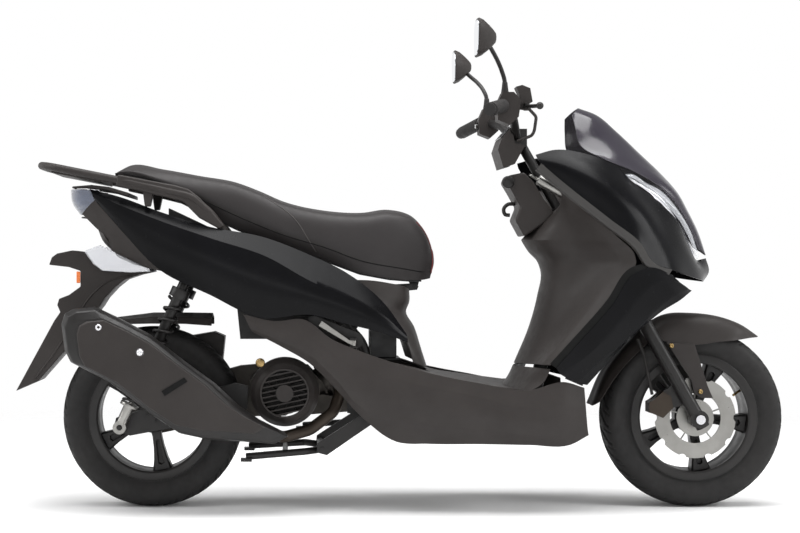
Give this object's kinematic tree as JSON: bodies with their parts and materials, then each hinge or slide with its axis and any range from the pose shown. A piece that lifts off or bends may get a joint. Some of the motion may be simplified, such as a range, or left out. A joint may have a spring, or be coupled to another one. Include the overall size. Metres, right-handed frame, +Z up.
{
  "type": "moped scooter",
  "caption": "Step-through moped scooter with faceted covers, smoked screen, long dual seat, grab rail, swinging engine unit and centre stand.",
  "frame": {"origin": "on the ground, midway between the rear tip of the plate bracket and the front of the front tyre, on the centre plane", "axes": "+X forwards, +Y to the rider's left, +Z up"},
  "size_m": [2.0045, 0.7304, 1.233],
  "materials": {
    "black_gloss": "gloss",
    "black_matte": "fine grained matte",
    "smoke_screen": "tinted, glossy",
    "clear_lens": "clear, glossy",
    "smoke_lens": "tinted, glossy",
    "chrome": "mirror bright",
    "steel": "brushed",
    "black_metal": "satin black",
    "cast": "as cast",
    "tyre": "matte",
    "rubber": "ribbed matte",
    "vinyl": "grained vinyl",
    "bucket": "matte",
    "battery": "matte"
  },
  "bodies": {
    "chassis": {"frame": "black_metal", "front_fairing": "black_gloss", "lower_covers": "black_matte", "windscreen": "smoke_screen", "headlight_lenses": "clear_lens", "headlight_bowls": "chrome", "leg_shield": "black_matte", "ignition_lock": "steel", "belly_pan": "black_matte", "floorboard": "black_matte", "under_seat_cover": "black_matte", "side_panels": "black_gloss", "rear_lights": "smoke_lens", "tail_covers": "black_matte", "grab_rail": "black_metal", "storage_bucket": "bucket", "fuel_tank": "black_metal", "battery": "battery"},
    "key": {"ignition_key": "steel"},
    "steering": {"steering_stem": "black_metal", "handlebar": "black_metal", "left_grip": "rubber", "bar_controls": "black_matte", "instrument_cluster": "black_matte"},
    "throttle": {"throttle_grip": "rubber"},
    "right_lever": {"brake_lever_right": "black_metal"},
    "left_lever": {"brake_lever_left": "black_metal"},
    "starter": {"starter_button": "black_matte"},
    "horn": {"horn_button": "black_matte"},
    "indicator": {"turn_switch": "black_matte"},
    "right_mirror": {"mirror_right": "black_matte"},
    "left_mirror": {"mirror_left": "black_matte"},
    "fork": {"fork_sliders": "black_metal", "front_axle": "chrome", "brake_caliper": "black_metal", "front_fender": "black_matte", "front_brake_hose": "rubber"},
    "front_wheel": {"front_tyre": "tyre", "front_rim": "black_metal", "brake_disc": "steel"},
    "engine": {"engine_case": "cast", "cvt_cover": "black_metal", "fan_cover": "black_matte", "exhaust_pipe": "steel", "muffler": "black_metal", "swing_arm": "black_metal", "air_box_and_hugger": "black_matte"},
    "crank": {"cooling_fan": "black_matte"},
    "kick": {"kick_starter": "black_metal"},
    "rear_wheel": {"rear_tyre": "tyre", "rear_rim": "black_metal"},
    "shock_upper": {"shock_bodies": "black_metal", "shock_springs": "steel"},
    "shock_lower": {"shock_rods": "steel"},
    "main_stand": {"centre_stand": "black_metal"},
    "prop_stand": {"side_stand": "black_metal"},
    "right_peg": {"footpeg_right": "black_metal"},
    "left_peg": {"footpeg_left": "black_metal"},
    "seat": {"seat_cushion": "vinyl", "seat_base": "bucket"}
  },
  "joints": [
    {"name": "steering", "type": "hinge", "parent": "chassis", "child": "steering", "pos_m": [0.73554, 0, 0.21677], "axis": [-0.4924, 0, 0.8704], "range_deg": [-36, 36]},
    {"name": "front_suspension", "type": "slide", "parent": "steering", "child": "fork", "axis": [-0.4924, 0, 0.8704], "range_m": [0, 0.07], "stiffness_N_per_m": 12000, "springref_m": -0.12},
    {"name": "front_wheel_spin", "type": "hinge", "parent": "fork", "child": "front_wheel", "pos_m": [0.766, 0, 0.234], "axis": [0, 1, 0], "continuous": true},
    {"name": "rear_swing", "type": "hinge", "parent": "chassis", "child": "engine", "pos_m": [-0.12, 0, 0.262], "axis": [0, 1, 0], "range_deg": [0, 7], "stiffness_Nm_per_rad": 16000, "springref_deg": -5.73},
    {"name": "rear_wheel_spin", "type": "hinge", "parent": "engine", "child": "rear_wheel", "pos_m": [-0.646, 0, 0.234], "axis": [0, 1, 0], "continuous": true},
    {"name": "crank_spin", "type": "hinge", "parent": "engine", "child": "crank", "pos_m": [-0.3, 0, 0.305], "axis": [0, 1, 0], "continuous": true},
    {"name": "kick_starter_turn", "type": "hinge", "parent": "engine", "child": "kick", "pos_m": [-0.33, 0.148, 0.3], "axis": [0, -1, 0], "range_deg": [0, 55], "stiffness_Nm_per_rad": 2, "springref_deg": -34.38},
    {"name": "shock_pivot", "type": "hinge", "parent": "chassis", "child": "shock_upper", "pos_m": [-0.553, 0, 0.594], "axis": [0, 1, 0], "range_deg": [0, 5.3]},
    {"name": "shock_slide", "type": "slide", "parent": "shock_upper", "child": "shock_lower", "axis": [0.4093, 0, 0.9124], "range_m": [0, 0.067], "deforming": ["shock_springs"]},
    {"name": "throttle_twist", "type": "hinge", "parent": "steering", "child": "throttle", "pos_m": [0.2255, -0.291, 1.019], "axis": [-0.3779, -0.9101, -0.1697], "range_deg": [0, 75], "stiffness_Nm_per_rad": 0.3, "springref_deg": -28.65},
    {"name": "right_brake_lever", "type": "hinge", "parent": "steering", "child": "right_lever", "pos_m": [0.306, -0.218, 1.028], "axis": [0, 0, -1], "range_deg": [0, 18], "stiffness_Nm_per_rad": 2, "springref_deg": -11.46},
    {"name": "left_brake_lever", "type": "hinge", "parent": "steering", "child": "left_lever", "pos_m": [0.306, 0.218, 1.028], "axis": [0, 0, 1], "range_deg": [0, 18], "stiffness_Nm_per_rad": 2, "springref_deg": -11.46},
    {"name": "starter_press", "type": "slide", "parent": "steering", "child": "starter", "axis": [1, 0, 0], "range_m": [0, 0.003], "stiffness_N_per_m": 200, "springref_m": -0.002},
    {"name": "horn_press", "type": "slide", "parent": "steering", "child": "horn", "axis": [1, 0, 0], "range_m": [0, 0.003], "stiffness_N_per_m": 200, "springref_m": -0.002},
    {"name": "indicator_slide", "type": "slide", "parent": "steering", "child": "indicator", "axis": [0, 1, 0], "range_m": [-0.003, 0.003]},
    {"name": "right_mirror_turn", "type": "hinge", "parent": "steering", "child": "right_mirror", "pos_m": [0.254, -0.2, 1.063], "axis": [0, 0, 1], "range_deg": [-20, 20]},
    {"name": "left_mirror_turn", "type": "hinge", "parent": "steering", "child": "left_mirror", "pos_m": [0.254, 0.2, 1.063], "axis": [0, 0, 1], "range_deg": [-20, 20]},
    {"name": "key_turn", "type": "hinge", "parent": "chassis", "child": "key", "pos_m": [0.35, -0.118, 0.85], "axis": [0.8789, 0, -0.4771], "range_deg": [0, 90]},
    {"name": "seat_lid", "type": "hinge", "parent": "chassis", "child": "seat", "pos_m": [0.04, 0, 0.575], "axis": [0, 1, 0], "range_deg": [0, 65]},
    {"name": "centre_stand_turn", "type": "hinge", "parent": "chassis", "child": "main_stand", "pos_m": [-0.204, 0, 0.156], "axis": [0, -1, 0], "range_deg": [0, 95], "stiffness_Nm_per_rad": 4, "springref_deg": -57.3},
    {"name": "side_stand_turn", "type": "hinge", "parent": "chassis", "child": "prop_stand", "pos_m": [-0.04, 0.142, 0.208], "axis": [0, -1, 0], "range_deg": [0, 100], "stiffness_Nm_per_rad": 2, "springref_deg": -57.3},
    {"name": "right_footpeg_fold", "type": "hinge", "parent": "chassis", "child": "right_peg", "pos_m": [-0.126, -0.193, 0.434], "axis": [0, 0, 1], "range_deg": [0, 88]},
    {"name": "left_footpeg_fold", "type": "hinge", "parent": "chassis", "child": "left_peg", "pos_m": [-0.126, 0.193, 0.434], "axis": [0, 0, -1], "range_deg": [0, 88]}
  ],
  "couplings": [
    {"joint": "shock_pivot", "follows": "rear_swing", "ratio": 0.733},
    {"joint": "shock_slide", "follows": "rear_swing", "m_per_rad": 0.536}
  ]
}
